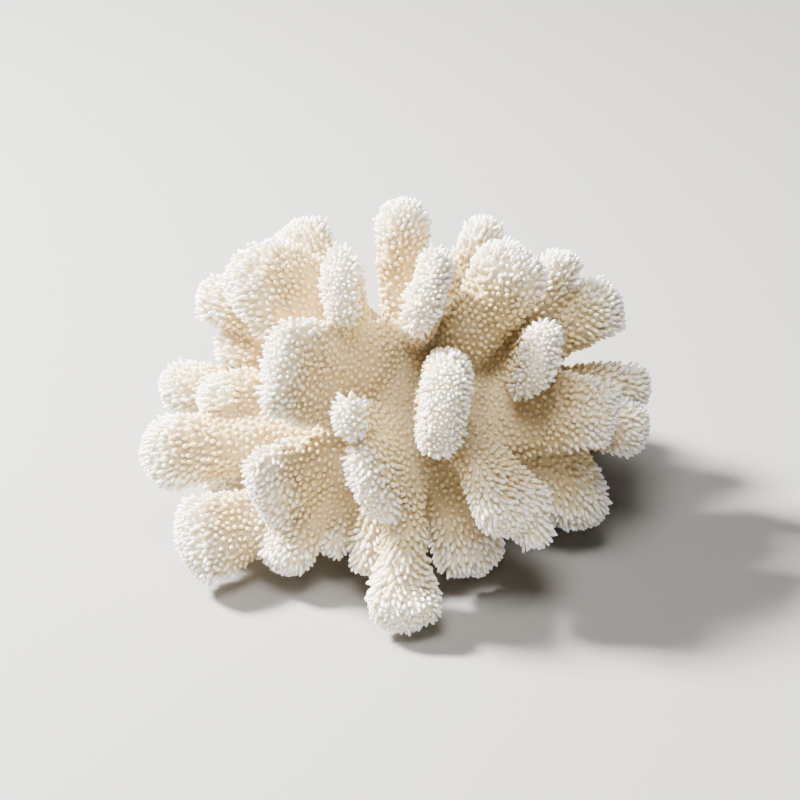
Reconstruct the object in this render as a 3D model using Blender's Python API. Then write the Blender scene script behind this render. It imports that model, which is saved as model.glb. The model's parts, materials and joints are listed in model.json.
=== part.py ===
"""Cat's paw coral skeleton: a dome of flattened lobes round a short trunk that is cut off flat underneath.

One colony is grown as a single fused surface, cut flat at the table and parted at the main forks into a trunk
and its branches, and every face of it is then raised into a nub. The tables are in millimetres and the scene is
in metres, with +Z up and the viewer on the -Y side. The origin is on the cut underside, below the trunk.
"""

import math

import bpy
import bmesh
import numpy as np
from mathutils import Vector
from mathutils.bvhtree import BVHTree

MM = 0.001

# Driving sizes, in millimetres
NUB_HEIGHT = 1.3          # how far the tallest nubs stand out, at the ends of the lobes
NUB_HEIGHT_INSIDE = 0.6   # how far they stand out down in the valleys
NUBS_FULL_FROM = 62       # the distance from the trunk's middle past which the nubs are at their tallest
NUBS_LOW_TO = 36          # and the distance up to which they stay low
FORK_GAP = 0.3            # the clearance between two pieces where the colony is parted
VOXEL = 1.1               # the grid that fuses the lobes
FILLET_PASSES = 8         # smoothing passes, which round the valleys between the lobes
LUMP_HEIGHT = 0.8         # the uneven swelling of the lobes
LUMP_SPACING = 12.0
COARSE_FACES = 2450       # triangles before they are raised into nubs

# The trunk is a swelling on a short foot
TRUNK_CENTRE = (3, 8, 34)
TRUNK_RADII = (37, 34, 33)
FOOT_CENTRE = (3, 7)
FOOT_RADIUS = 25
FOOT_FLARE = 3
FOOT_TOP = 26
FOOT_BOTTOM = -8          # below the cut, which trims it to zero

# Each branch is a list of lobes, and each lobe is its spine's root, bend and end, its widths and its depths at
# those three, the direction that the width lies along, and how its end is rounded. The sizes are over the nubs.
UP = (0, 0.5, 0.87)       # upright, as seen from the front and a little above
SQUARE = 0.13             # the length that the end is rounded over, as a share of the width
SOFT = 0.36
ROUND = 0.52
BRANCHES = {
    "front_foot": [
        ((3, -20, 48), (1, -44, 32), (1, -60, 9), (17, 14, 15), (14, 14, 14), (1, 0, 0), ROUND),
        ((0, -46, 22), (1, -57, 13), (2, -69, 8), (14, 21, 24), (12, 14, 15), (1, 0, 0), SOFT),
    ],
    "front_small_fingers": [
        ((-8, -15, 26), (-16, -28, 20), (-22, -39, 12), (9, 10, 10), (9, 9, 10), (1, 0, 0), ROUND),
        ((-3, -18, 30), (-8, -33, 21), (-11, -45, 9), (12, 12, 12), (11, 11, 11), (1, 0, 0), ROUND),
    ],
    "front_blade": [
        ((10, -12, 50), (12, -32, 63), (13, -52, 72), (28, 31, 32), (15, 15, 14), (0.14, 0.49, 0.86), SOFT),
    ],
    "front_ridge": [
        ((0, -14, 38), (-9, -33, 56), (-17, -50, 69), (18, 15, 13), (10, 10, 10), (-0.1, 0.49, 0.86), SOFT),
        ((4, -20, 42), (-3, -40, 45), (-11, -57, 44), (24, 27, 29), (12, 11, 11), (-0.27, 0.48, 0.84), SOFT),
    ],
    "front_right_blade": [
        ((12, -18, 42), (18, -33, 29), (22, -44, 8), (24, 25, 22), (14, 14, 14), (0.9, 0.2, 0.4), SOFT),
        ((12, -12, 46), (25, -34, 43), (38, -53, 30), (28, 26, 29), (14, 15, 16), (0.7, -0.35, -0.6), SOFT),
        ((28, -38, 36), (37, -46, 31), (42, -53, 24), (13, 13, 12), (12, 12, 12), (1, 0, 0), ROUND),
    ],
    "front_left_blade": [
        ((-8, -10, 37), (-25, -24, 32), (-42, -37, 25), (26, 32, 42), (15, 12, 11), (-0.12, 0.1, 1), SQUARE),
        ((-26, -24, 23), (-33, -34, 15), (-38, -42, 8), (18, 19, 20), (12, 14, 16), (0.9, -0.3, 0.2), ROUND),
    ],
    "low_left_paw": [
        ((-25, -16, 20), (-46, -29, 18), (-68, -40, 16), (18, 22, 29), (14, 14, 16), (-0.45, 0.44, 0.78), SOFT),
    ],
    "low_left_finger": [
        ((-25, -2, 22), (-45, -4, 20), (-63, -5, 16), (12, 11, 11), (11, 10, 10), UP, ROUND),
    ],
    "left_arm": [
        ((-15, -6, 36), (-46, -11, 36), (-81, -14, 32), (16, 18, 24), (14, 14, 17), UP, ROUND),
    ],
    "left_fingers": [
        ((-22, 2, 44), (-43, 0, 46), (-64, -3, 47), (20, 18, 17), (15, 14, 14), UP, ROUND),
        ((-30, 12, 38), (-55, 15, 40), (-78, 17, 40), (16, 15, 17), (14, 13, 15), UP, ROUND),
    ],
    "left_blade": [
        ((0, -2, 50), (-20, -22, 66), (-39, -39, 79), (44, 34, 31), (18, 12, 11), (0.36, 0.47, 0.81), SQUARE),
    ],
    "high_left_paw": [
        ((-18, 4, 64), (-33, -1, 82), (-54, -4, 86), (28, 31, 28), (15, 14, 13), UP, ROUND),
    ],
    "high_left_rear_paw": [
        ((-15, 16, 58), (-26, 25, 78), (-34, 32, 92), (14, 16, 20), (14, 14, 14), (1, 0, -0.1), ROUND),
    ],
    "middle_left_fingers": [
        ((-25, 14, 53), (-46, 20, 64), (-65, 25, 69), (16, 16, 16), (14, 13, 13), UP, ROUND),
        ((-25, 12, 46), (-44, 17, 52), (-60, 21, 54), (14, 13, 12), (13, 12, 12), UP, ROUND),
    ],
    "high_left_finger": [
        ((-13, 2, 62), (-16, -10, 84), (-18, -23, 99), (24, 26, 26), (12, 11, 11), (-0.03, 0.49, 0.87), SOFT),
    ],
    "top_finger": [
        ((0, 5, 60), (0, 9, 86), (2, 13, 109), (12, 14, 21), (13, 13, 14), (1, 0, 0), 1.0),
    ],
    "top_blade": [
        ((6, 4, 69), (8, -14, 87), (8, -31, 101), (22, 25, 28), (12, 11, 11), (0.3, 0.48, 0.82), SOFT),
    ],
    "high_right_paw": [
        ((16, 0, 60), (27, -4, 80), (37, -3, 101), (17, 21, 26), (16, 15, 14), (0.87, -0.2, -0.35), ROUND),
    ],
    "high_right_rear_finger": [
        ((15, 12, 60), (22, 18, 80), (28, 24, 98), (23, 18, 12), (13, 13, 12), (1, 0, 0), ROUND),
    ],
    "high_right_fingers": [
        ((28, 4, 56), (42, 10, 73), (53, 16, 90), (16, 15, 12), (13, 13, 12), (0.8, 0, -0.6), ROUND),
        ((32, 4, 54), (52, 10, 66), (70, 14, 74), (18, 17, 21), (14, 14, 16), UP, ROUND),
    ],
    "right_upper_blade": [
        ((35, 2, 55), (39, -14, 66), (42, -29, 77), (20, 23, 24), (12, 11, 11), (0.3, 0.47, 0.83), SOFT),
    ],
    "right_blade": [
        ((26, -6, 44), (47, -16, 50), (66, -25, 54), (32, 27, 22), (16, 12, 10), (0.52, 0.43, 0.74), SQUARE),
    ],
    "right_fingers": [
        ((30, 8, 42), (56, 10, 44), (80, 12, 43), (16, 15, 15), (14, 14, 14), UP, ROUND),
        ((30, -2, 38), (55, -3, 38), (79, -4, 36), (17, 16, 18), (14, 14, 15), UP, ROUND),
    ],
    "low_right_finger": [
        ((20, -6, 40), (43, -12, 31), (60, -18, 9), (32, 31, 18), (16, 15, 15), (0.7, 0.2, 0.6), SOFT),
    ],
    "back_top_left_finger": [
        ((4, 22, 56), (3, 36, 72), (1, 49, 84), (14, 13, 13), (14, 13, 12), (1, 0, 0), ROUND),
    ],
    "back_top_right_finger": [
        ((15, 22, 54), (25, 38, 66), (33, 52, 76), (19, 17, 16), (14, 13, 13), (0.8, -0.4, 0.2), ROUND),
    ],
    "back_left_fan": [
        ((-12, 22, 52), (-27, 39, 62), (-38, 55, 70), (24, 24, 24), (16, 15, 14), (0.6, 0.1, 0.75), SOFT),
        ((-18, 20, 42), (-38, 35, 44), (-54, 50, 42), (22, 20, 20), (15, 14, 14), (0.1, 0.2, 1), ROUND),
    ],
    "back_low_left_fan": [
        ((-18, 24, 30), (-35, 42, 24), (-50, 58, 16), (26, 25, 24), (16, 15, 15), (-0.3, 0.2, 1), SOFT),
        ((-24, 16, 26), (-44, 22, 18), (-62, 27, 10), (17, 16, 16), (14, 13, 13), (0, 0.2, 1), ROUND),
    ],
    "back_middle_left_fan": [
        ((-4, 26, 42), (-18, 48, 44), (-26, 67, 43), (24, 24, 23), (16, 15, 14), (0.2, 0.1, 1), SOFT),
    ],
    "back_middle_right_fan": [
        ((8, 26, 40), (20, 48, 42), (28, 68, 42), (24, 23, 22), (15, 15, 14), (-0.3, 0.1, 1), SOFT),
    ],
    "back_low_fan": [
        ((0, 26, 28), (2, 50, 24), (2, 72, 19), (26, 25, 24), (15, 15, 15), (1, 0, 0.3), SOFT),
        ((-6, 24, 22), (-17, 46, 14), (-24, 66, 9), (15, 14, 14), (13, 12, 12), (1, 0.4, 0), ROUND),
    ],
    "back_low_right_finger": [
        ((10, 24, 24), (26, 44, 16), (38, 62, 9), (17, 16, 16), (14, 14, 13), (0.5, -0.3, 0.8), ROUND),
    ],
    "back_right_fan": [
        ((22, 16, 46), (42, 28, 52), (58, 42, 56), (24, 22, 21), (16, 15, 14), (-0.2, 0, 1), SOFT),
        ((20, 22, 38), (38, 42, 38), (51, 58, 34), (22, 21, 20), (15, 14, 14), (0.1, 0.1, 1), ROUND),
    ],
    "low_back_right_fingers": [
        ((24, 14, 32), (46, 25, 30), (67, 36, 26), (20, 19, 18), (15, 14, 14), (0, 0.1, 1), ROUND),
        ((22, 8, 26), (41, 14, 18), (58, 18, 11), (18, 16, 16), (14, 13, 13), (0, 0.2, 1), ROUND),
    ],
}

# Where the pieces part: each grows about its own sites, and a site's reach weighs it against the others
TRUNK_SITES = (((3, 7, 18), 32), ((3, 8, 40), 28))
LOBE_STATIONS = (0.5, 0.72, 0.94)
LOBE_OVERLAP = 0.2        # between the lobes of one branch, which stay in one piece
CRUMB = 24                # an island with fewer points than this is the stray foot of a neighbour, and goes

# How a lobe is swept
SPINE_STEPS = 16
SPINE_CROWDING = 1.6      # above 1, the rings crowd towards the rounded end
AROUND = 20
SQUARENESS = 2.5          # 2 is an ellipse, and more is a rounded rectangle
END_REACH_DEEP = 0.5      # the length that the end is rounded over, as a share of its depth


def clear_scene():
    for old in list(bpy.data.objects):
        bpy.data.objects.remove(old, do_unlink=True)


def link_mesh(name, mesh):
    obj = bpy.data.objects.new(name, mesh)
    bpy.context.scene.collection.objects.link(obj)
    return obj


def evaluated_mesh(obj):
    """The object's mesh with its modifiers applied, and the object removed."""
    bpy.context.view_layer.update()
    graph = bpy.context.evaluated_depsgraph_get()
    mesh = bpy.data.meshes.new_from_object(obj.evaluated_get(graph))
    bpy.data.objects.remove(obj, do_unlink=True)
    return mesh


def through(first, middle, last, t):
    """A smooth value that passes the three given ones at 0, a half and 1."""
    return first * (1 - t) * (1 - 2 * t) + middle * 4 * t * (1 - t) + last * t * (2 * t - 1)


def rounding(distance, reach):
    """The share of its full size that a lobe has at a distance from its end, which is round over that reach."""
    return math.sqrt(1 - (1 - min(distance / reach, 1)) ** 2)


def squared(value):
    """A cosine or a sine bent so that an ellipse becomes a rounded rectangle."""
    return math.copysign(abs(value) ** (2 / SQUARENESS), value)


def add_lobe(bm, root, bend, end, widths, depths, across, end_reach):
    """A flattened finger swept along its spine, with a rounded end and a flat root that the trunk hides."""
    root, bend, end, across = (Vector(v) for v in (root, bend, end, across))
    end = end - (end - bend).normalized() * NUB_HEIGHT
    length = (end - root).length
    rings = []
    for step in range(SPINE_STEPS):
        t = 1 - (1 - step / SPINE_STEPS) ** SPINE_CROWDING
        centre = through(root, bend, end, t)
        ahead = (through(root, bend, end, t + 0.01) - centre).normalized()
        wide = (across - ahead * across.dot(ahead)).normalized()
        deep = ahead.cross(wide)
        left = (1 - t) * length
        half_wide = np.interp(t, (0, 0.5, 0.9), widths) / 2 - NUB_HEIGHT
        half_deep = np.interp(t, (0, 0.5, 0.9), depths) / 2 - NUB_HEIGHT
        half_wide *= rounding(left, end_reach * widths[-1])
        half_deep *= rounding(left, END_REACH_DEEP * depths[-1])
        ring = []
        for k in range(AROUND):
            turn = 2 * math.pi * k / AROUND
            offset = wide * (half_wide * squared(math.cos(turn))) + deep * (half_deep * squared(math.sin(turn)))
            ring.append(bm.verts.new((centre + offset) * MM))
        rings.append(ring)
    for lower, upper in zip(rings, rings[1:]):
        for k in range(AROUND):
            after = (k + 1) % AROUND
            bm.faces.new((lower[k], lower[after], upper[after], upper[k]))
    bm.faces.new(reversed(rings[0]))
    tip = bm.verts.new(end * MM)
    for k in range(AROUND):
        bm.faces.new((rings[-1][k], rings[-1][(k + 1) % AROUND], tip))


def add_trunk(bm):
    """The trunk's swelling, and the foot that reaches down past the cut."""
    swelling = bmesh.ops.create_icosphere(bm, subdivisions=4, radius=1)["verts"]
    for vert in swelling:
        vert.co = Vector(middle + c * r for middle, c, r in zip(TRUNK_CENTRE, vert.co, TRUNK_RADII)) * MM
    foot = bmesh.ops.create_cone(
        bm,
        cap_ends=True,
        segments=32,
        radius1=FOOT_RADIUS * MM,
        radius2=(FOOT_RADIUS + FOOT_FLARE) * MM,
        depth=(FOOT_TOP - FOOT_BOTTOM) * MM,
    )["verts"]
    bmesh.ops.translate(bm, verts=foot, vec=Vector((*FOOT_CENTRE, (FOOT_TOP + FOOT_BOTTOM) / 2)) * MM)


def fused_colony():
    """The trunk and all the lobes as one smooth mesh, as it is at the feet of the nubs."""
    bm = bmesh.new()
    add_trunk(bm)
    for lobes in BRANCHES.values():
        for lobe in lobes:
            add_lobe(bm, *lobe)
    bmesh.ops.recalc_face_normals(bm, faces=bm.faces)
    mesh = bpy.data.meshes.new("colony")
    bm.to_mesh(mesh)
    bm.free()
    obj = link_mesh("colony", mesh)
    fuse = obj.modifiers.new("fuse", "REMESH")
    fuse.mode = "VOXEL"
    fuse.voxel_size = VOXEL * MM
    fillet = obj.modifiers.new("fillet", "SMOOTH")
    fillet.factor = 0.5
    fillet.iterations = FILLET_PASSES
    lumps = bpy.data.textures.new("lumps", "CLOUDS")
    lumps.noise_scale = LUMP_SPACING * MM
    lumps.noise_depth = 1
    swell = obj.modifiers.new("swell", "DISPLACE")
    swell.texture = lumps
    swell.strength = 2 * LUMP_HEIGHT * MM
    swell.mid_level = 0.5
    return evaluated_mesh(obj)


def drop_islands(mesh, fewest):
    """Leave only the connected surfaces that have at least so many points."""
    bm = bmesh.new()
    bm.from_mesh(mesh)
    unseen = set(bm.verts)
    while unseen:
        front = [unseen.pop()]
        island = list(front)
        while front:
            vert = front.pop()
            for edge in vert.link_edges:
                other = edge.other_vert(vert)
                if other in unseen:
                    unseen.discard(other)
                    island.append(other)
                    front.append(other)
        if len(island) < fewest:
            bmesh.ops.delete(bm, geom=island, context="VERTS")
    bm.to_mesh(mesh)
    bm.free()


def thinned(fine):
    """A coarse copy of the colony, whose triangles are to be raised into nubs."""
    coarse = link_mesh("coarse", fine.copy())
    thin = coarse.modifiers.new("thin", "DECIMATE")
    thin.ratio = COARSE_FACES / sum(len(face.vertices) - 2 for face in fine.polygons)
    return evaluated_mesh(coarse)


def growth_sites():
    """The points that the pieces grow about, each with its piece's name and its reach."""
    sites = [("trunk", Vector(point), reach) for point, reach in TRUNK_SITES]
    for name, lobes in BRANCHES.items():
        for root, bend, end, widths, depths, _, _ in lobes:
            for t in LOBE_STATIONS:
                point = through(Vector(root), Vector(bend), Vector(end), t)
                sites.append((name, point, (widths[-1] + depths[-1]) / 4))
    return sites


def cell_planes(site, sites):
    """The point and the outward direction of each plane round a site's cell: the table's, and one to each other."""
    name, centre, reach = site
    planes = [(Vector((0, 0, 0)), Vector((0, 0, -1)))]
    for other_name, other, other_reach in sites:
        if other == centre:
            continue
        apart = (other - centre).length
        outward = (other - centre).normalized()
        share = (apart**2 + reach**2 - other_reach**2) / (2 * apart)
        share += LOBE_OVERLAP if other_name == name else -FORK_GAP / 2
        planes.append(((centre + outward * share) * MM, outward))
    return planes


def cell_object(planes):
    """The closed cell of space inside all the planes."""
    cell = bmesh.new()
    bmesh.ops.create_cube(cell, size=0.4)
    for point, outward in planes:
        geometry = cell.verts[:] + cell.edges[:] + cell.faces[:]
        cut = bmesh.ops.bisect_plane(
            cell, geom=geometry, dist=1e-7, plane_co=point, plane_no=outward, clear_outer=True
        )
        edges = [item for item in cut["geom_cut"] if isinstance(item, bmesh.types.BMEdge)]
        if edges:
            bmesh.ops.contextual_create(cell, geom=edges)
    bmesh.ops.recalc_face_normals(cell, faces=cell.faces)
    mesh = bpy.data.meshes.new("cell")
    cell.to_mesh(mesh)
    cell.free()
    return link_mesh("cell", mesh)


def combined(first, second, operation):
    """The mesh of a Boolean between two objects, which are both used up."""
    joint = first.modifiers.new("joint", "BOOLEAN")
    joint.operation = operation
    joint.solver = "EXACT"
    joint.object = second
    mesh = evaluated_mesh(first)
    bpy.data.objects.remove(second, do_unlink=True)
    return mesh


def room_for(cells):
    """The space inside any of the overlapping cells, as one object."""
    room = cell_object(cells[0])
    for planes in cells[1:]:
        room = link_mesh("room", combined(room, cell_object(planes), "UNION"))
    return room


def inside(point, planes, margin):
    return all((point - on_plane).dot(outward) < -margin for on_plane, outward in planes)


def raise_nubs(mesh, surface, cells):
    """Draw each face out to a nub on the fine surface. The cuts, and the faces that border on them, stay plain."""
    bm = bmesh.new()
    bm.from_mesh(mesh)
    well_inside = {vert for vert in bm.verts if any(inside(vert.co, planes, 1e-5) for planes in cells)}
    grown = [face for face in bm.faces if well_inside.issuperset(face.verts)]
    trunk = Vector(TRUNK_CENTRE)
    for peak in bmesh.ops.poke(bm, faces=grown)["verts"]:
        foot, normal, _, _ = surface.find_nearest(peak.co)
        from_trunk = (foot / MM - trunk).length
        height = np.interp(from_trunk, (NUBS_LOW_TO, NUBS_FULL_FROM), (NUB_HEIGHT_INSIDE, NUB_HEIGHT))
        raised = foot + normal * float(height) * MM
        if any(inside(raised, planes, 2e-5) for planes in cells):
            peak.co = raised
    bm.to_mesh(mesh)
    bm.free()


def coral_material():
    material = bpy.data.materials.new("coral_skeleton")
    material.use_nodes = True
    shader = material.node_tree.nodes["Principled BSDF"]
    shader.inputs["Base Color"].default_value = (0.80, 0.68, 0.50, 1)
    shader.inputs["Roughness"].default_value = 0.75
    shader.inputs["Metallic"].default_value = 0.0
    return material


def main():
    clear_scene()
    fine = fused_colony()
    drop_islands(fine, len(fine.vertices) // 2)
    surface = BVHTree.FromPolygons([v.co for v in fine.vertices], [p.vertices for p in fine.polygons])
    colony = thinned(fine)
    colony.materials.clear()
    colony.materials.append(coral_material())
    sites = growth_sites()
    for name in ("trunk", *BRANCHES):
        cells = [cell_planes(site, sites) for site in sites if site[0] == name]
        mesh = combined(link_mesh("whole", colony.copy()), room_for(cells), "INTERSECT")
        drop_islands(mesh, CRUMB)
        raise_nubs(mesh, surface, cells)
        link_mesh(name, mesh)


main()
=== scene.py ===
import json
import math

import bpy
import numpy as np
from mathutils import Matrix, Vector
from mathutils.bvhtree import BVHTree
from mathutils.kdtree import KDTree

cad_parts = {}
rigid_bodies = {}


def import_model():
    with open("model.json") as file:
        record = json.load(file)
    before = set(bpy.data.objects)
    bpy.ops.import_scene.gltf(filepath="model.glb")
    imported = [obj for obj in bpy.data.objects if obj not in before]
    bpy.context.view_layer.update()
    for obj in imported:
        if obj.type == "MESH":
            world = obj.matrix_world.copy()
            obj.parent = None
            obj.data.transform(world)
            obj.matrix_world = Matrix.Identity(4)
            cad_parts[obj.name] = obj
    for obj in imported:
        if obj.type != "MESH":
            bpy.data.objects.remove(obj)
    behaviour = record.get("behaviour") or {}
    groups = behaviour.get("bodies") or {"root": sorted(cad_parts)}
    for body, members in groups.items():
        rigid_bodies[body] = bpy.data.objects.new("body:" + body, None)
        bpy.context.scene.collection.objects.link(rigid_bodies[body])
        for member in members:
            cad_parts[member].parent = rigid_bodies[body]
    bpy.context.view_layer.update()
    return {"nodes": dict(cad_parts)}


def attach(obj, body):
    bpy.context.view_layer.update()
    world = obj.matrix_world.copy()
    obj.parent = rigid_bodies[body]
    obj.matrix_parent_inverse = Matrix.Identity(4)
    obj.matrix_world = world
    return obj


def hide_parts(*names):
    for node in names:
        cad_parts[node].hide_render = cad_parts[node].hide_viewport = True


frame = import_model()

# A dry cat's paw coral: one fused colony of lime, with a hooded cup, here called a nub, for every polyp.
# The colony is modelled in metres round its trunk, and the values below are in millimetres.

mm = 0.001

colony = {
    "nubHeight": 1.3,           # sizes are taken over the nubs, and the bare surface lies this far inside
    "grain": 1.45,              # voxel size that fuses the fingers
    "filletPasses": 6,          # smoothing that rounds the forks
    "smoothing": 0.5,           # how far one such pass goes
    "lumpHeight": 1.1,          # uneven swelling of the fingers
    "lumpSpacing": 10.5,
    "sharpAngle": 60,           # degrees, over which an edge stays sharp, as the saw cut's does
    "trunkCentre": (3, 8, 34),
    "trunkRadii": (37, 34, 33),
    "footCentre": (3, 7),
    "footRadius": 25,
    "footFlare": 3,
    "footTop": 26,
    "footBottom": -8,           # below the saw cut at zero
    "footSides": 32,
}

upright = (0, 0.5, 0.87)        # as seen from the front and a little above
blunt = 0.13                    # length that an end is rounded over, as a share of its width
soft = 0.36
rounded = 0.52

# Every finger: spine's root, bend and end, widths and depths at those, direction of the width, and its end
fingers = {
    "frontFoot": [
        ((3, -20, 48), (1, -44, 32), (1, -60, 9), (17, 14, 15), (14, 14, 14), (1, 0, 0), rounded),
        ((0, -46, 22), (1, -57, 13), (2, -69, 8), (14, 21, 24), (12, 14, 15), (1, 0, 0), soft),
    ],
    "frontSmallFingers": [
        ((-8, -15, 26), (-16, -28, 20), (-22, -39, 12), (9, 10, 10), (9, 9, 10), (1, 0, 0), rounded),
        ((-3, -18, 30), (-8, -33, 21), (-11, -45, 9), (12, 12, 12), (11, 11, 11), (1, 0, 0), rounded),
    ],
    "frontBlade": [
        ((10, -12, 50), (12, -32, 63), (13, -52, 72), (28, 31, 32), (15, 15, 14), (0.14, 0.49, 0.86), soft),
    ],
    "frontRidge": [
        ((0, -14, 38), (-9, -33, 56), (-17, -50, 69), (18, 15, 13), (10, 10, 10), (-0.1, 0.49, 0.86), soft),
        ((4, -20, 42), (-3, -40, 45), (-11, -57, 44), (24, 27, 29), (12, 11, 11), (-0.27, 0.48, 0.84), soft),
    ],
    "frontRightBlade": [
        ((12, -18, 42), (18, -33, 29), (22, -44, 8), (24, 25, 22), (14, 14, 14), (0.9, 0.2, 0.4), soft),
        ((12, -12, 46), (25, -34, 43), (38, -53, 30), (28, 26, 29), (14, 15, 16), (0.7, -0.35, -0.6), soft),
        ((28, -38, 36), (37, -46, 31), (42, -53, 24), (13, 13, 12), (12, 12, 12), (1, 0, 0), rounded),
    ],
    "frontLeftBlade": [
        ((-8, -10, 37), (-25, -24, 32), (-42, -37, 25), (26, 32, 42), (15, 12, 11), (-0.12, 0.1, 1), blunt),
        ((-26, -24, 23), (-33, -34, 15), (-38, -42, 8), (18, 19, 20), (12, 14, 16), (0.9, -0.3, 0.2),
         rounded),
    ],
    "lowLeftPaw": [
        ((-25, -16, 20), (-46, -29, 18), (-68, -40, 16), (18, 22, 29), (14, 14, 16), (-0.45, 0.44, 0.78),
         soft),
    ],
    "lowLeftFinger": [
        ((-25, -2, 22), (-45, -4, 20), (-63, -5, 16), (12, 11, 11), (11, 10, 10), upright, rounded),
    ],
    "leftArm": [
        ((-15, -6, 36), (-46, -11, 36), (-81, -14, 32), (16, 18, 24), (14, 14, 17), upright, rounded),
    ],
    "leftFingers": [
        ((-22, 2, 44), (-43, 0, 46), (-64, -3, 47), (20, 18, 17), (15, 14, 14), upright, rounded),
        ((-30, 12, 38), (-55, 15, 40), (-78, 17, 40), (16, 15, 17), (14, 13, 15), upright, rounded),
    ],
    "leftBlade": [
        ((0, -2, 50), (-20, -22, 66), (-39, -39, 79), (44, 34, 31), (18, 12, 11), (0.36, 0.47, 0.81), blunt),
    ],
    "highLeftPaw": [
        ((-18, 4, 64), (-33, -1, 82), (-54, -4, 86), (28, 31, 28), (15, 14, 13), upright, rounded),
    ],
    "highLeftRearPaw": [
        ((-15, 16, 58), (-26, 25, 78), (-34, 32, 92), (14, 16, 20), (14, 14, 14), (1, 0, -0.1), rounded),
    ],
    "middleLeftFingers": [
        ((-25, 14, 53), (-46, 20, 64), (-65, 25, 69), (16, 16, 16), (14, 13, 13), upright, rounded),
        ((-25, 12, 46), (-44, 17, 52), (-60, 21, 54), (14, 13, 12), (13, 12, 12), upright, rounded),
    ],
    "highLeftFinger": [
        ((-13, 2, 62), (-16, -10, 84), (-18, -23, 99), (24, 26, 26), (12, 11, 11), (-0.03, 0.49, 0.87), soft),
    ],
    "topFinger": [
        ((0, 5, 60), (0, 9, 86), (2, 13, 109), (12, 14, 21), (13, 13, 14), (1, 0, 0), 1.0),
    ],
    "topBlade": [
        ((6, 4, 69), (8, -14, 87), (8, -31, 101), (22, 25, 28), (12, 11, 11), (0.3, 0.48, 0.82), soft),
    ],
    "highRightPaw": [
        ((16, 0, 60), (27, -4, 80), (37, -3, 101), (17, 21, 26), (16, 15, 14), (0.87, -0.2, -0.35), rounded),
    ],
    "highRightRearFinger": [
        ((15, 12, 60), (22, 18, 80), (28, 24, 98), (23, 18, 12), (13, 13, 12), (1, 0, 0), rounded),
    ],
    "highRightFingers": [
        ((28, 4, 56), (42, 10, 73), (53, 16, 90), (16, 15, 12), (13, 13, 12), (0.8, 0, -0.6), rounded),
        ((32, 4, 54), (52, 10, 66), (70, 14, 74), (18, 17, 21), (14, 14, 16), upright, rounded),
    ],
    "rightUpperBlade": [
        ((35, 2, 55), (39, -14, 66), (42, -29, 77), (20, 23, 24), (12, 11, 11), (0.3, 0.47, 0.83), soft),
    ],
    "rightBlade": [
        ((26, -6, 44), (47, -16, 50), (66, -25, 54), (32, 27, 22), (16, 12, 10), (0.52, 0.43, 0.74), blunt),
    ],
    "rightFingers": [
        ((30, 8, 42), (56, 10, 44), (80, 12, 43), (16, 15, 15), (14, 14, 14), upright, rounded),
        ((30, -2, 38), (55, -3, 38), (79, -4, 36), (17, 16, 18), (14, 14, 15), upright, rounded),
    ],
    "lowRightFinger": [
        ((20, -6, 40), (43, -12, 31), (60, -18, 9), (32, 31, 18), (16, 15, 15), (0.7, 0.2, 0.6), soft),
    ],
    "backTopFingers": [
        ((4, 22, 56), (3, 36, 72), (1, 49, 84), (14, 13, 13), (14, 13, 12), (1, 0, 0), rounded),
        ((15, 22, 54), (25, 38, 66), (33, 52, 76), (19, 17, 16), (14, 13, 13), (0.8, -0.4, 0.2), rounded),
    ],
    "backLeftFan": [
        ((-12, 22, 52), (-27, 39, 62), (-38, 55, 70), (24, 24, 24), (16, 15, 14), (0.6, 0.1, 0.75), soft),
        ((-18, 20, 42), (-38, 35, 44), (-54, 50, 42), (22, 20, 20), (15, 14, 14), (0.1, 0.2, 1), rounded),
    ],
    "backLowLeftFan": [
        ((-18, 24, 30), (-35, 42, 24), (-50, 58, 16), (26, 25, 24), (16, 15, 15), (-0.3, 0.2, 1), soft),
        ((-24, 16, 26), (-44, 22, 18), (-62, 27, 10), (17, 16, 16), (14, 13, 13), (0, 0.2, 1), rounded),
    ],
    "backMiddleFans": [
        ((-4, 26, 42), (-18, 48, 44), (-26, 67, 43), (24, 24, 23), (16, 15, 14), (0.2, 0.1, 1), soft),
        ((8, 26, 40), (20, 48, 42), (28, 68, 42), (24, 23, 22), (15, 15, 14), (-0.3, 0.1, 1), soft),
    ],
    "backLowFan": [
        ((0, 26, 28), (2, 50, 24), (2, 72, 19), (26, 25, 24), (15, 15, 15), (1, 0, 0.3), soft),
        ((-6, 24, 22), (-17, 46, 14), (-24, 66, 9), (15, 14, 14), (13, 12, 12), (1, 0.4, 0), rounded),
        ((10, 24, 24), (26, 44, 16), (38, 62, 9), (17, 16, 16), (14, 14, 13), (0.5, -0.3, 0.8), rounded),
    ],
    "backRightFan": [
        ((22, 16, 46), (42, 28, 52), (58, 42, 56), (24, 22, 21), (16, 15, 14), (-0.2, 0, 1), soft),
        ((20, 22, 38), (38, 42, 38), (51, 58, 34), (22, 21, 20), (15, 14, 14), (0.1, 0.1, 1), rounded),
    ],
    "lowBackRightFingers": [
        ((24, 14, 32), (46, 25, 30), (67, 36, 26), (20, 19, 18), (15, 14, 14), (0, 0.1, 1), rounded),
        ((22, 8, 26), (41, 14, 18), (58, 18, 11), (18, 16, 16), (14, 13, 13), (0, 0.2, 1), rounded),
    ],
}

sweep = {
    "rings": 16,
    "crowding": 1.6,            # above 1, rings crowd towards the rounded end
    "cornerShare": 41,          # per cent of a side that each corner of the section is rounded over
    "cornerSteps": 4,
    "deepReach": 0.5,           # length that the end is rounded over, as a share of its depth
    "sizesAt": (0, 0.5, 0.9),   # shares of the length at which the widths and depths are given
    "last": 0.9995,             # share of the length at which the last ring stands, so that it keeps a size
    "glance": 0.01,             # how far ahead a ring looks for its direction
}


def deselectAll():
    if bpy.context.object and bpy.context.object.mode != "OBJECT":
        bpy.ops.object.mode_set(mode="OBJECT")
    bpy.ops.object.select_all(action="DESELECT")


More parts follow.
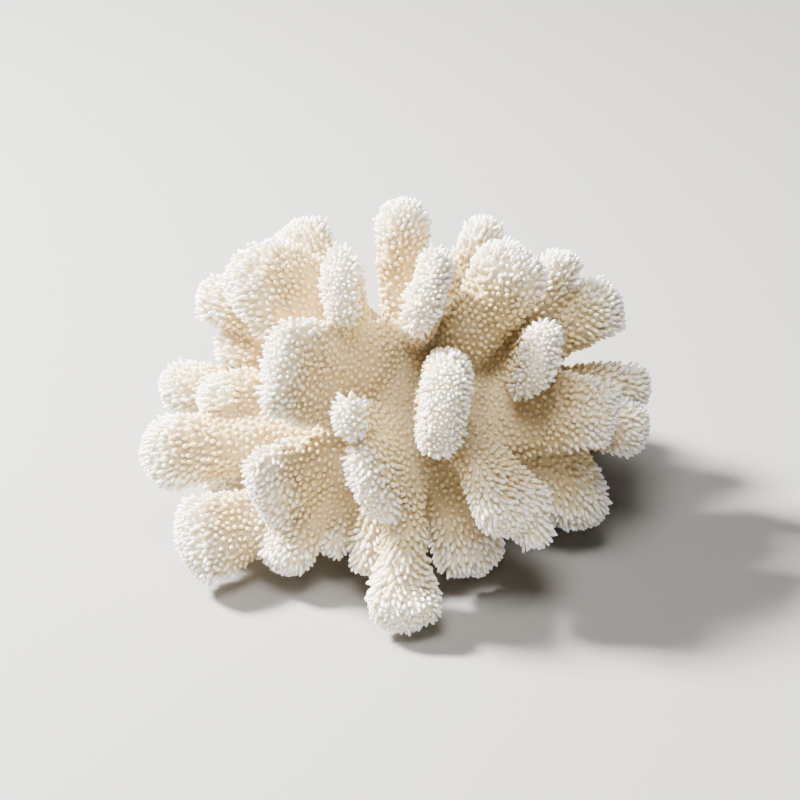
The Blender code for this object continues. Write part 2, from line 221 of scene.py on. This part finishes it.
def makeActive(obj):
    deselectAll()
    obj.select_set(True)
    bpy.context.view_layer.objects.active = obj


def joined(objects, name):
    makeActive(objects[0])
    for obj in objects[1:]:
        obj.select_set(True)
    bpy.ops.object.join()
    result = bpy.context.object
    result.name = name
    result.data.name = name
    return result


def applyModifier(obj, kind, **settings):
    makeActive(obj)
    modifier = obj.modifiers.new(kind.lower(), kind)
    for setting, value in settings.items():
        setattr(modifier, setting, value)
    bpy.ops.object.modifier_apply(modifier=modifier.name)


def through(first, middle, last, t):
    return first * (1 - t) * (1 - 2 * t) + middle * 4 * t * (1 - t) + last * t * (2 * t - 1)


def rounding(distance, reach):
    return math.sqrt(1 - (1 - min(distance / reach, 1)) ** 2)


def modelSection():
    # one outline across a finger: a square with its corners rounded, of half-width 1
    deselectAll()
    bpy.ops.mesh.primitive_plane_add(size=2)
    section = bpy.context.object
    bpy.ops.object.mode_set(mode="EDIT")
    bpy.ops.mesh.select_all(action="SELECT")
    bpy.ops.mesh.bevel(offset_type="PERCENT", offset_pct=sweep["cornerShare"],
                       segments=sweep["cornerSteps"], affect="VERTICES")
    bpy.ops.mesh.delete(type="ONLY_FACE")
    bpy.ops.object.mode_set(mode="OBJECT")
    return section


def stations(finger):
    # places along a finger: mm left to its end, centre, direction, width direction, half width, half depth
    root, bend, end, across = (Vector(finger[k]) for k in (0, 1, 2, 5))
    widths, depths, endReach = finger[3], finger[4], finger[6]
    end = end - (end - bend).normalized() * colony["nubHeight"]
    length = (end - root).length
    for step in range(sweep["rings"] + 1):
        t = min(1 - (1 - step / sweep["rings"]) ** sweep["crowding"], sweep["last"])
        centre = through(root, bend, end, t)
        ahead = (through(root, bend, end, t + sweep["glance"]) - centre).normalized()
        wide = (across - ahead * across.dot(ahead)).normalized()
        left = (1 - t) * length
        halfWide = np.interp(t, sweep["sizesAt"], widths) / 2 - colony["nubHeight"]
        halfDeep = np.interp(t, sweep["sizesAt"], depths) / 2 - colony["nubHeight"]
        halfWide *= rounding(left, endReach * widths[-1])
        halfDeep *= rounding(left, sweep["deepReach"] * depths[-1])
        yield left, centre, ahead, wide, float(halfWide), float(halfDeep)


def modelFinger(section, finger):
    rings = []
    for _, centre, ahead, wide, halfWide, halfDeep in stations(finger):
        ring = section.copy()
        ring.data = section.data.copy()
        bpy.context.scene.collection.objects.link(ring)
        turn = Matrix((wide * halfWide, ahead.cross(wide) * halfDeep, ahead)).transposed()
        ring.data.transform(Matrix.Scale(mm, 4) @ Matrix.Translation(centre) @ turn.to_4x4())
        rings.append(ring)
    body = joined(rings, "finger")
    bpy.ops.object.mode_set(mode="EDIT")
    bpy.ops.mesh.select_all(action="SELECT")
    bpy.ops.mesh.bridge_edge_loops()
    bpy.ops.mesh.select_all(action="SELECT")
    bpy.ops.mesh.fill_holes(sides=0)
    bpy.ops.mesh.select_all(action="SELECT")
    bpy.ops.mesh.normals_make_consistent(inside=False)
    bpy.ops.object.mode_set(mode="OBJECT")
    return body


def modelTrunk():
    deselectAll()
    bpy.ops.mesh.primitive_ico_sphere_add(
        subdivisions=4, radius=mm,
        location=Vector(colony["trunkCentre"]) * mm, scale=colony["trunkRadii"])
    swelling = bpy.context.object
    bpy.ops.object.transform_apply(location=True, rotation=True, scale=True)
    deselectAll()
    middle = (colony["footTop"] + colony["footBottom"]) / 2
    bpy.ops.mesh.primitive_cone_add(
        vertices=colony["footSides"], radius1=colony["footRadius"] * mm,
        radius2=(colony["footRadius"] + colony["footFlare"]) * mm,
        depth=(colony["footTop"] - colony["footBottom"]) * mm,
        location=Vector((*colony["footCentre"], middle)) * mm)
    foot = bpy.context.object
    bpy.ops.object.transform_apply(location=True, rotation=True, scale=True)
    return [swelling, foot]


def keepOutside(obj):
    # what the highest point hangs together with is the outside, and pockets shut inside go
    makeActive(obj)
    highest = max(obj.data.vertices, key=lambda v: v.co.z).index
    bpy.ops.object.mode_set(mode="EDIT")
    bpy.ops.mesh.select_all(action="DESELECT")
    bpy.ops.object.mode_set(mode="OBJECT")
    obj.data.vertices[highest].select = True
    bpy.ops.object.mode_set(mode="EDIT")
    bpy.ops.mesh.select_linked(delimit=set())
    bpy.ops.mesh.select_all(action="INVERT")
    bpy.ops.mesh.delete(type="VERT")
    bpy.ops.object.mode_set(mode="OBJECT")


def modelColony():
    section = modelSection()
    parts = modelTrunk()
    for branch in fingers.values():
        for finger in branch:
            parts.append(modelFinger(section, finger))
    bpy.data.objects.remove(section, do_unlink=True)
    body = joined(parts, "coralBody")
    print("fingers modelled:", len(parts) - 2)
    applyModifier(body, "REMESH", mode="VOXEL", voxel_size=colony["grain"] * mm)
    applyModifier(body, "SMOOTH", factor=colony["smoothing"], iterations=colony["filletPasses"])
    lumps = bpy.data.textures.new("lumps", "CLOUDS")
    lumps.noise_scale = colony["lumpSpacing"] * mm
    lumps.noise_depth = 1
    applyModifier(body, "DISPLACE", texture=lumps, strength=2 * colony["lumpHeight"] * mm, mid_level=0.5)
    bpy.data.textures.remove(lumps)
    keepOutside(body)
    makeActive(body)
    bpy.ops.object.mode_set(mode="EDIT")
    bpy.ops.mesh.select_all(action="SELECT")
    bpy.ops.mesh.bisect(plane_co=(0, 0, 0), plane_no=(0, 0, 1), use_fill=True, clear_inner=True)
    bpy.ops.object.mode_set(mode="OBJECT")
    bpy.ops.object.shade_smooth_by_angle(angle=math.radians(colony["sharpAngle"]))
    print("colony fused:", len(body.data.polygons), "faces")
    return body


growth = {
    "whiteTo": 4,               # mm from a finger's end up to which it is at its whitest
    "tanFrom": 34,              # and from which it is as tan as the valleys
    "exposurePasses": 40,       # how far the surface is smoothed to tell ridges from valleys
    "ridge": 1.1,               # mm that a sharp rim stands out of the smoothed surface
    "valley": -0.5,
    "capFrom": 0.45,            # cosine to the finger's way at which the cap of its end begins
    "capTo": 0.85,
    "across": (-0.8, -0.4, 0, 0.4, 0.8),        # places over a finger's half width that stand for it
    "endPower": 1.5,            # how steeply the growth falls behind an end
    "endShare": 0.65,
    # a rim's share in the growth value lengthens its cups, and in the lime's colour it is painted shade: pale
    # ridges and tan valleys
    "rimShare": 0.45,
    "barren": 0.1,              # taken off, so that plain sides far from an end count as not grown
}


def growthOf(body):
    # for every point: how grown and how exposed it is, 0 in the valleys and 1 at ends and rims, which paints
    # shade into the valleys, how far it stands out as a rim, how far it is on the cap of its finger's end,
    # which way that finger grows, and whose it is
    places, lefts, aheads, ownerNames = [], [], [], []
    for name, branch in fingers.items():
        for finger in branch:
            for left, centre, ahead, wide, halfWide, _ in stations(finger):
                for side in growth["across"]:
                    places.append(centre + wide * halfWide * side)
                    lefts.append(left)
                    aheads.append(ahead)
                    ownerNames.append(name)
    tree = KDTree(len(places))
    for k, place in enumerate(places):
        tree.insert(place * mm, k)
    tree.balance()
    count = len(body.data.vertices)
    near = [tree.find(v.co)[1] for v in body.data.vertices]
    left = np.array(lefts)[near]
    ahead = np.array([tuple(a) for a in aheads])[near]
    endness = 1 - np.clip((left - growth["whiteTo"]) / (growth["tanFrom"] - growth["whiteTo"]), 0, 1)
    smoothed = body.copy()
    smoothed.data = body.data.copy()
    bpy.context.scene.collection.objects.link(smoothed)
    applyModifier(smoothed, "SMOOTH", factor=colony["smoothing"], iterations=growth["exposurePasses"])
    before = np.empty(count * 3)
    after = np.empty(count * 3)
    normals = np.empty(count * 3)
    body.data.vertices.foreach_get("co", before)
    smoothed.data.vertices.foreach_get("co", after)
    body.data.vertices.foreach_get("normal", normals)
    bpy.data.objects.remove(smoothed, do_unlink=True)
    stand = ((before - after) * normals).reshape(-1, 3).sum(1) / mm
    rim = np.clip((stand - growth["valley"]) / (growth["ridge"] - growth["valley"]), 0, 1)
    owners = np.array(ownerNames)[near]
    ends = endness**growth["endPower"] * growth["endShare"]
    # painted shade: valleys, which stand low out of the smoothed surface, get less of the value and so turn
    # tan, while ridges turn pale
    grown = np.clip(ends + rim * growth["rimShare"] - growth["barren"], 0, 1)
    facing = (normals.reshape(-1, 3) * ahead).sum(1)
    cap = np.clip((facing - growth["capFrom"]) / (growth["capTo"] - growth["capFrom"]), 0, 1) * endness
    return grown, rim, cap, ahead, owners


nubs = {
    "seed": 11,
    "spacing": 2.2,             # mm from cup to cup on the sides of the fingers
    "spacingEnds": 1.72,        # near their ends
    "spacingCaps": 1.38,        # and on the very ends, where young cups crowd
    "spacingValleys": 2.0,
    "spacingBelow": 2.9,        # sparse on the foot
    "belowTo": 16,              # height up to which the foot is sparse
    "bareTo": 1.6,              # height up to which the saw cut's edge is bare
    "draws": 6,                 # darts thrown for each cup that sticks
    "settling": 6,              # rounds in which the cups push each other apart
    "sides": 6,
    "sunk": 0.2,                # a cup's foot lies this share of its height under the surface
    "flare": 1.2,               # a cup widens downwards, so that its foot meets its neighbours'
    "radius": (0.76, 0.66),     # mm, in the valleys and at the ends
    "radiusCaps": 0.56,
    "radiusSpread": 0.13,
    "radiusLimits": (0.75, 1.25),
    "length": ((0, 0.65), (0.2, 1.1), (0.36, 1.9), (0.55, 2.3), (1, 2.45)),     # growth, and mm to it
    "lengthCaps": 1.1,
    "lengthSpread": 0.2,
    "lengthLimits": (0.6, 1.4),
    "lean": 0.75,               # how far the hoods lean towards the finger's end
    "leanSpread": 0.21,
    "turnSpread": 0.12,
    "lowTo": 0.27,              # below this growth a cup is a dome, and above it a leaning hood
    "domeRings": (((0, 0, 0.70), 0.83), ((0, 0, 0.50), 0.48)),      # steps upwards, and how each ring shrinks
    "hoodRings": (((0, 0, 0.55), 0.79), ((0.02, 0, 0.43), 0.84), ((0.04, 0, 0.22), 0.52)),
    "valleyTo": 0.45,           # rim value from which the surface is no valley
    "belowReach": 30,           # mm round the foot, over which its cups thin out
    "rowShare": 0.866,          # rows of evenly packed cups stand this share of the spacing apart
    "packing": 0.776,           # random packing at this share of the spacing fills like rows at full spacing
    "push": 0.4,                # share of a gap's shortfall that each settling round makes up
    "facing": 0.2,              # cups whose walls face apart more than this don't push each other
    "same": 1e-6,               # two places closer than this are one cup
}

nubGroups = {
    "frontNubs": ["frontFoot", "frontSmallFingers", "frontBlade", "frontRidge"],
    "frontRightNubs": ["frontRightBlade", "lowRightFinger", "rightBlade"],
    "frontLeftNubs": ["frontLeftBlade", "lowLeftPaw", "lowLeftFinger"],
    "leftNubs": ["leftArm", "leftFingers", "leftBlade"],
    "highLeftNubs": ["highLeftPaw", "highLeftRearPaw", "middleLeftFingers", "highLeftFinger"],
    "topNubs": ["topFinger", "topBlade", "highRightPaw", "highRightRearFinger", "backTopFingers"],
    "rightNubs": ["highRightFingers", "rightUpperBlade", "rightFingers", "lowBackRightFingers"],
    "backLeftNubs": ["backLeftFan", "backLowLeftFan"],
    "backRightNubs": ["backMiddleFans", "backLowFan", "backRightFan"],
}


def surfaceArrays(body):
    # the corners of every triangle, and the point and normal of every corner in millimetres
    mesh = body.data
    mesh.calc_loop_triangles()
    corners = np.empty(len(mesh.loop_triangles) * 3, np.int32)
    mesh.loop_triangles.foreach_get("vertices", corners)
    points = np.empty(len(mesh.vertices) * 3)
    normals = np.empty(len(mesh.vertices) * 3)
    mesh.vertices.foreach_get("co", points)
    mesh.vertices.foreach_get("normal", normals)
    return corners.reshape(-1, 3), points.reshape(-1, 3) / mm, normals.reshape(-1, 3)


def spacingAt(points, grown, rim, cap):
    spacing = nubs["spacing"] + (nubs["spacingEnds"] - nubs["spacing"]) * grown
    spacing = spacing + (nubs["spacingCaps"] - spacing) * cap
    valley = np.clip(1 - rim / nubs["valleyTo"], 0, 1)
    spacing = spacing + (nubs["spacingValleys"] - spacing) * valley
    below = np.clip((nubs["belowTo"] - points[:, 2]) / nubs["belowTo"], 0, 1)
    outFromFoot = np.linalg.norm(points[:, :2] - colony["footCentre"], axis=1) - colony["footRadius"]
    inward = np.clip(1 - outFromFoot / nubs["belowReach"], 0, 1)
    return spacing + (nubs["spacingBelow"] - spacing) * below * inward


def isFree(dart, limit, cells, cell):
    # whether no cup already stands nearer to the dart than the limit, looked up in the cells round it
    near = [(c - 1, c, c + 1) for c in cell]
    for x in near[0]:
        for y in near[1]:
            for z in near[2]:
                for other in cells.get((x, y, z), ()):
                    if sum((a - b) ** 2 for a, b in zip(dart, other)) < limit * limit:
                        return False
    return True


def throwDarts(corners, points, spacing, rng):
    # cups at random, none closer to another than its spacing allows
    a, b, c = (points[corners[:, k]] for k in range(3))
    areas = np.linalg.norm(np.cross(b - a, c - a), axis=1) / 2
    areas *= (a[:, 2] > nubs["bareTo"]) & (b[:, 2] > nubs["bareTo"]) & (c[:, 2] > nubs["bareTo"])
    wanted = areas / (nubs["rowShare"] * spacing[corners].mean(1) ** 2)
    draws = int(wanted.sum() * nubs["draws"])
    chosen = rng.choice(len(corners), draws, p=wanted / wanted.sum())
    u, v = rng.random(draws), rng.random(draws)
    folded = u + v > 1
    u[folded], v[folded] = 1 - u[folded], 1 - v[folded]
    darts = a[chosen] + (b - a)[chosen] * u[:, None] + (c - a)[chosen] * v[:, None]
    closest = nubs["packing"] * spacing[corners[chosen, 0]]
    size = closest.max()
    cells = {}
    kept = []
    for dart, limit in zip(darts.tolist(), closest.tolist()):
        cell = tuple(int(c // size) for c in dart)
        if isFree(dart, limit, cells, cell):
            cells.setdefault(cell, []).append(dart)
            kept.append(dart)
    return np.array(kept)


def settle(places, tree, corners, normals, spacing):
    # cups push their neighbours away along the surface until they stand evenly
    for turn in range(nubs["settling"] + 1):
        onFace = []
        for k, place in enumerate(places):
            foot, _, face, _ = tree.find_nearest(Vector(place))
            onFace.append(face)
            places[k] = foot
        onFace = np.array(onFace)
        normal = normals[corners[onFace]].mean(1)
        normal /= np.linalg.norm(normal, axis=1)[:, None]
        if turn == nubs["settling"]:
            return places, onFace, normal
        reach = spacing[corners[onFace]].mean(1)
        near = KDTree(len(places))
        for k, place in enumerate(places):
            near.insert(place, k)
        near.balance()
        first, second = [], []
        for k, place in enumerate(places):
            found = [other[1] for other in near.find_range(place, reach[k])]
            first.extend([k] * len(found))
            second.extend(found)
        first, second = np.array(first), np.array(second)
        apart = places[first] - places[second]
        gap = np.linalg.norm(apart, axis=1)
        facing = (normal[first] * normal[second]).sum(1) > nubs["facing"]
        pairs = (gap > nubs["same"]) & facing
        first, apart, gap = first[pairs], apart[pairs], gap[pairs]
        push = apart / gap[:, None] * (reach[first] - gap)[:, None] * nubs["push"]
        shift = np.zeros_like(places)
        np.add.at(shift, first, push)
        shift -= normal * (shift * normal).sum(1)[:, None]
        places = places + shift
        places[:, 2] = np.maximum(places[:, 2], nubs["bareTo"])


def modelNub(name, rings):
    # one hooded cup, a tapered rod with a round head: radius 1 near the surface, and height 1 over it
    deselectAll()
    bpy.ops.mesh.primitive_circle_add(
        vertices=nubs["sides"], radius=nubs["flare"], fill_type="NGON", location=(0, 0, -nubs["sunk"]))
    nub = bpy.context.object
    nub.name = name
    bpy.ops.object.transform_apply(location=True, rotation=True, scale=True)
    bpy.ops.object.mode_set(mode="EDIT")
    bpy.ops.mesh.select_all(action="SELECT")
    for step, size in rings:
        bpy.ops.mesh.extrude_region_move(TRANSFORM_OT_translate={"value": step})
        bpy.ops.transform.resize(value=(size, size, 1))
    bpy.ops.mesh.select_all(action="SELECT")
    bpy.ops.mesh.normals_make_consistent(inside=False)
    bpy.ops.object.mode_set(mode="OBJECT")
    bpy.ops.object.shade_smooth()
    tip = nub.data.attributes.new("tip", "FLOAT", "POINT")
    tip.data.foreach_set("value", [min(max(v.co.z, 0), 1) for v in nub.data.vertices])
    return nub


def scatterTree(nub):
    # a copy of the nub on every point, turned and sized by the point's own values, all as one real mesh
    tree = bpy.data.node_groups.new("scatterNubs", "GeometryNodeTree")
    tree.interface.new_socket("Geometry", in_out="INPUT", socket_type="NodeSocketGeometry")
    tree.interface.new_socket("Geometry", in_out="OUTPUT", socket_type="NodeSocketGeometry")
    start = tree.nodes.new("NodeGroupInput")
    end = tree.nodes.new("NodeGroupOutput")
    shape = tree.nodes.new("GeometryNodeObjectInfo")
    shape.inputs["Object"].default_value = nub
    turn = tree.nodes.new("GeometryNodeInputNamedAttribute")
    turn.data_type = "QUATERNION"
    turn.inputs["Name"].default_value = "turn"
    size = tree.nodes.new("GeometryNodeInputNamedAttribute")
    size.data_type = "FLOAT_VECTOR"
    size.inputs["Name"].default_value = "size"
    place = tree.nodes.new("GeometryNodeInstanceOnPoints")
    real = tree.nodes.new("GeometryNodeRealizeInstances")
    tree.links.new(start.outputs[0], place.inputs["Points"])
    tree.links.new(shape.outputs["Geometry"], place.inputs["Instance"])
    tree.links.new(turn.outputs["Attribute"], place.inputs["Rotation"])
    tree.links.new(size.outputs["Attribute"], place.inputs["Scale"])
    tree.links.new(place.outputs["Instances"], real.inputs["Geometry"])
    tree.links.new(real.outputs["Geometry"], end.inputs[0])
    return tree


def turnsFor(normal, ahead, rng):
    # each cup stands on the surface, leans towards its finger's end and has its hood on that side
    along = ahead - normal * (ahead * normal).sum(1)[:, None]
    axis = normal + along * nubs["lean"] + rng.normal(0, nubs["leanSpread"], normal.shape)
    turns = []
    for up, forward in zip(axis, along + rng.normal(0, nubs["turnSpread"], normal.shape)):
        up = Vector(up).normalized()
        side = up.cross(Vector(forward)).normalized()
        front = side.cross(up)
        turns.append(tuple(Matrix((front, side, up)).transposed().to_quaternion()))
    return np.array(turns)


def scattered(name, nub, places, turns, sizes, grown):
    mesh = bpy.data.meshes.new(name)
    mesh.from_pydata((places * mm).tolist(), [], [])
    for label, kind, field, value in (
        ("turn", "QUATERNION", "value", turns),
        ("size", "FLOAT_VECTOR", "vector", sizes * mm),
        ("grown", "FLOAT", "value", grown),
    ):
        mesh.attributes.new(label, kind, "POINT").data.foreach_set(field, value.astype(np.float32).ravel())
    piece = bpy.data.objects.new(name, mesh)
    bpy.context.scene.collection.objects.link(piece)
    tree = scatterTree(nub)
    applyModifier(piece, "NODES", node_group=tree)
    bpy.data.node_groups.remove(tree)
    for label in ("turn", "size"):
        if piece.data.attributes.get(label):
            piece.data.attributes.remove(piece.data.attributes[label])
    return piece


def plantNubs(body, grown, rim, cap, ahead, owners):
    rng = np.random.default_rng(nubs["seed"])
    corners, points, normals = surfaceArrays(body)
    spacing = spacingAt(points, grown, rim, cap)
    places = throwDarts(corners, points, spacing, rng)
    print("cups placed:", len(places))
    tree = BVHTree.FromPolygons(points.tolist(), corners.tolist())
    places, onFace, normal = settle(places, tree, corners, normals, spacing)
    at = corners[onFace]
    grownAndExposedHere = grown[at].mean(1)
    capHere = cap[at].mean(1)
    turns = turnsFor(normal, ahead[at].mean(1), rng)
    radius = np.interp(grownAndExposedHere, (0, 1), nubs["radius"])
    radius += (nubs["radiusCaps"] - radius) * capHere
    radius *= np.clip(rng.normal(1, nubs["radiusSpread"], len(places)), *nubs["radiusLimits"])
    length = np.interp(grownAndExposedHere, *zip(*nubs["length"]))
    length += (nubs["lengthCaps"] - length) * capHere
    length *= np.clip(rng.normal(1, nubs["lengthSpread"], len(places)), *nubs["lengthLimits"])
    sizes = np.stack((radius, radius, length), 1)
    dome = modelNub("dome", nubs["domeRings"])
    hood = modelNub("hood", nubs["hoodRings"])
    owner = owners[at[:, 0]]
    low = grownAndExposedHere < nubs["lowTo"]
    pieces = []
    for name, branches in nubGroups.items():
        mine = np.isin(owner, branches)
        parts = [scattered(name + nub.name, nub, places[some], turns[some], sizes[some], grownAndExposedHere[some])
                 for nub, some in ((dome, mine & low), (hood, mine & ~low))]
        piece = joined(parts, name)
        pieces.append(piece)
        print(name, mine.sum(), "cups,", sum(len(p.vertices) - 2 for p in piece.data.polygons), "triangles")
    bpy.data.objects.remove(dome, do_unlink=True)
    bpy.data.objects.remove(hood, do_unlink=True)
    return pieces


def linear(hexColour):
    shares = [int(hexColour[k:k + 2], 16) / 255 for k in (1, 3, 5)]
    return tuple(c / 12.92 if c <= 0.04045 else ((c + 0.055) / 1.055) ** 2.4 for c in shares) + (1.0,)


def addNode(tree, kind, settings=None, inputs=None):
    # inputs hold plain values, or the output socket that feeds them
    node = tree.nodes.new(kind)
    for name, value in (settings or {}).items():
        setattr(node, name, value)
    for name, value in (inputs or {}).items():
        if isinstance(value, bpy.types.NodeSocket):
            tree.links.new(value, node.inputs[name])
        else:
            node.inputs[name].default_value = value
    return node


def setRamp(node, stops):
    ramp = node.color_ramp
    while len(ramp.elements) > 1:
        ramp.elements.remove(ramp.elements[-1])
    ramp.elements[0].position, ramp.elements[0].color = stops[0][0], linear(stops[0][1])
    for position, colour in stops[1:]:
        ramp.elements.new(position).color = linear(colour)


lime = {
    # the valley tan is partly the old lime's own colour and partly painted shade in the forks
    "valley": "#C6AD7D",
    "tan": "#DBC598",
    "cream": "#ECDDBC",
    "ivory": "#F7F1E2",
    "white": "#FEFDFB",
    "tones": (0.0, 0.22, 0.48, 0.75, 1.0),      # where those five lie on the way from valley to white
    "whitens": (0.30, 0.82),    # growth over which the lime turns from cream to white; through the rims it also carries painted shade
    "whiter": 0.34,             # how much it does so on the ground between the cups
    "headLift": 0.23,           # how much paler a cup's head is than its ground
    "headLiftWhite": 0.44,      # and how much more where the lime is white
    "head": (0.1, 0.9),         # share of a cup's height over which it turns paler
    "blotch": 14,               # mm, patches of deeper cream
    "blotchDetail": 3.0,
    "blotchShare": 0.26,
    "blotchFrom": -0.01,
    "grain": 0.45,              # mm, sugary grains of the lime
    "grainSoftness": 0.6,
    "grainStrength": 0.35,
    "grainHeight": 0.12,        # mm
    "roughness": 0.78,
    "ior": 1.53,
    "specular": 0.35,
    "glow": 0.4,                # light that soaks into the thin lime
    "glowDepth": 2.2,           # mm
    "glowReach": (1.0, 0.8, 0.55),              # red goes deepest
}


def makeLime():
    # Aragonite, the lime that coral lays down, bleached and dry: chalky, faintly glowing, white where it
    # grew last and tan down in the forks, where the tan is partly the lime's own colour and partly painted
    # shade. The cups' heads are paler than the ground between them.
    material = bpy.data.materials.new("bleachedAragonite")
    material.use_nodes = True
    tree = material.node_tree
    tree.nodes.clear()
    place = addNode(tree, "ShaderNodeTexCoord").outputs["Object"]
    grown = addNode(tree, "ShaderNodeAttribute", {"attribute_name": "grown"}).outputs["Fac"]
    tip = addNode(tree, "ShaderNodeAttribute", {"attribute_name": "tip"}).outputs["Fac"]
    blotches = addNode(tree, "ShaderNodeTexNoise", None, {
        "Vector": place, "Scale": 1 / (lime["blotch"] * mm), "Detail": lime["blotchDetail"]}).outputs["Fac"]
    patchy = addNode(tree, "ShaderNodeMath", {"operation": "MULTIPLY_ADD"}, {
        0: blotches, 1: lime["blotchShare"], 2: lime["blotchFrom"]}).outputs[0]
    # whiteness from growth and from painted shade: the tan of the valleys and the paleness of the ridges
    # stand partly for shade
    youngAndExposed = addNode(tree, "ShaderNodeMapRange", {"interpolation_type": "SMOOTHSTEP"}, {
        "Value": grown, "From Min": lime["whitens"][0], "From Max": lime["whitens"][1]}).outputs["Result"]
    ground = addNode(tree, "ShaderNodeMath", {"operation": "MULTIPLY_ADD"}, {
        0: youngAndExposed, 1: lime["whiter"], 2: patchy}).outputs[0]
    lift = addNode(tree, "ShaderNodeMath", {"operation": "MULTIPLY_ADD"}, {
        0: youngAndExposed, 1: lime["headLiftWhite"], 2: lime["headLift"]}).outputs[0]
    head = addNode(tree, "ShaderNodeMapRange", {"interpolation_type": "SMOOTHSTEP"}, {
        "Value": tip, "From Min": lime["head"][0], "From Max": lime["head"][1]}).outputs["Result"]
    tone = addNode(tree, "ShaderNodeMath", {"operation": "MULTIPLY_ADD", "use_clamp": True}, {
        0: head, 1: lift, 2: ground}).outputs[0]
    colour = addNode(tree, "ShaderNodeValToRGB", None, {"Fac": tone})
    shades = [lime[shade] for shade in ("valley", "tan", "cream", "ivory", "white")]
    setRamp(colour, list(zip(lime["tones"], shades)))
    grains = addNode(tree, "ShaderNodeTexVoronoi", {"feature": "SMOOTH_F1"}, {
        "Vector": place, "Scale": 1 / (lime["grain"] * mm),
        "Smoothness": lime["grainSoftness"]}).outputs["Distance"]
    relief = addNode(tree, "ShaderNodeBump", {"invert": True}, {
        "Strength": lime["grainStrength"], "Distance": lime["grainHeight"] * mm,
        "Height": grains}).outputs["Normal"]
    shader = addNode(tree, "ShaderNodeBsdfPrincipled", None, {
        "Base Color": colour.outputs["Color"], "Roughness": lime["roughness"], "IOR": lime["ior"],
        "Specular IOR Level": lime["specular"], "Subsurface Weight": lime["glow"],
        "Subsurface Scale": lime["glowDepth"] * mm, "Subsurface Radius": lime["glowReach"],
        "Normal": relief})
    addNode(tree, "ShaderNodeOutputMaterial", None, {"Surface": shader.outputs["BSDF"]})
    material.diffuse_color = linear(lime["cream"])
    return material


stage = {
    "floor": "#979592",         # plain paper, pale under this light
    "floorSize": 6,
    "floorRoughness": 0.9,
    "floorSpecular": 0.05,
    "lens": 100,                # mm, on a sensor of the usual width
    "sensor": 36,
    "distance": 0.693,          # metres from the camera to what it looks at
    "target": (0, 0, 0.045),
    "lookDown": 30,             # degrees
    "lightsAim": (0, 0, 0.04),
    "sky": (0.66, 0.65, 0.63, 1),
    "skyStrength": 0.03,
}


def makeFloor():
    deselectAll()
    bpy.ops.mesh.primitive_plane_add(size=stage["floorSize"], location=(0, 0, 0))
    floor = bpy.context.object
    floor.name = "floor"
    material = bpy.data.materials.new("palePaper")
    material.use_nodes = True
    shader = material.node_tree.nodes["Principled BSDF"]
    shader.inputs["Base Color"].default_value = linear(stage["floor"])
    shader.inputs["Roughness"].default_value = stage["floorRoughness"]
    shader.inputs["Specular IOR Level"].default_value = stage["floorSpecular"]
    floor.data.materials.append(material)


def makeCamera():
    camera = bpy.data.objects.new("camera", bpy.data.cameras.new("camera"))
    bpy.context.scene.collection.objects.link(camera)
    camera.data.lens = stage["lens"]
    camera.data.sensor_width = stage["sensor"]
    tilt = math.radians(stage["lookDown"])
    away = Vector((0, -math.cos(tilt), math.sin(tilt))) * stage["distance"]
    camera.location = Vector(stage["target"]) + away
    camera.rotation_euler = (math.pi / 2 - tilt, 0, 0)
    bpy.context.scene.camera = camera


lights = {
    "key": {"place": (-0.66, 0.19, 0.74), "size": 0.18, "power": 112, "colour": (1.0, 0.99, 0.975)},
    "overhead": {"place": (-0.06, -0.34, 0.95), "size": 0.4, "power": 12, "colour": (1.0, 0.985, 0.96)},
    "front": {"place": (0.1, -0.86, 0.57), "size": 0.6, "power": 1.5, "colour": (0.97, 0.98, 1.0)},
}


def makeLights():
    for name, light in lights.items():
        lamp = bpy.data.objects.new(name, bpy.data.lights.new(name, "AREA"))
        bpy.context.scene.collection.objects.link(lamp)
        lamp.data.size = light["size"]
        lamp.data.energy = light["power"]
        lamp.data.color = light["colour"]
        lamp.location = light["place"]
        aim = Vector(stage["lightsAim"]) - lamp.location
        lamp.rotation_euler = aim.to_track_quat("-Z", "Y").to_euler()
    world = bpy.data.worlds.new("studio")
    world.use_nodes = True
    sky = world.node_tree.nodes["Background"]
    sky.inputs["Color"].default_value = stage["sky"]
    sky.inputs["Strength"].default_value = stage["skyStrength"]
    bpy.context.scene.world = world


def main():
    body = modelColony()
    grown, rim, cap, ahead, owners = growthOf(body)
    body.data.attributes.new("grown", "FLOAT", "POINT").data.foreach_set("value", grown.astype(np.float32))
    nubPieces = plantNubs(body, grown, rim, cap, ahead, owners)
    material = makeLime()
    for piece in [body, *nubPieces]:
        piece.data.materials.clear()
        piece.data.materials.append(material)
        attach(piece, "root")
    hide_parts(*frame["nodes"])
    makeFloor()
    makeCamera()
    makeLights()
    triangles = sum(len(p.vertices) - 2 for piece in [body, *nubPieces] for p in piece.data.polygons)
    print("triangles in all:", triangles)


main()
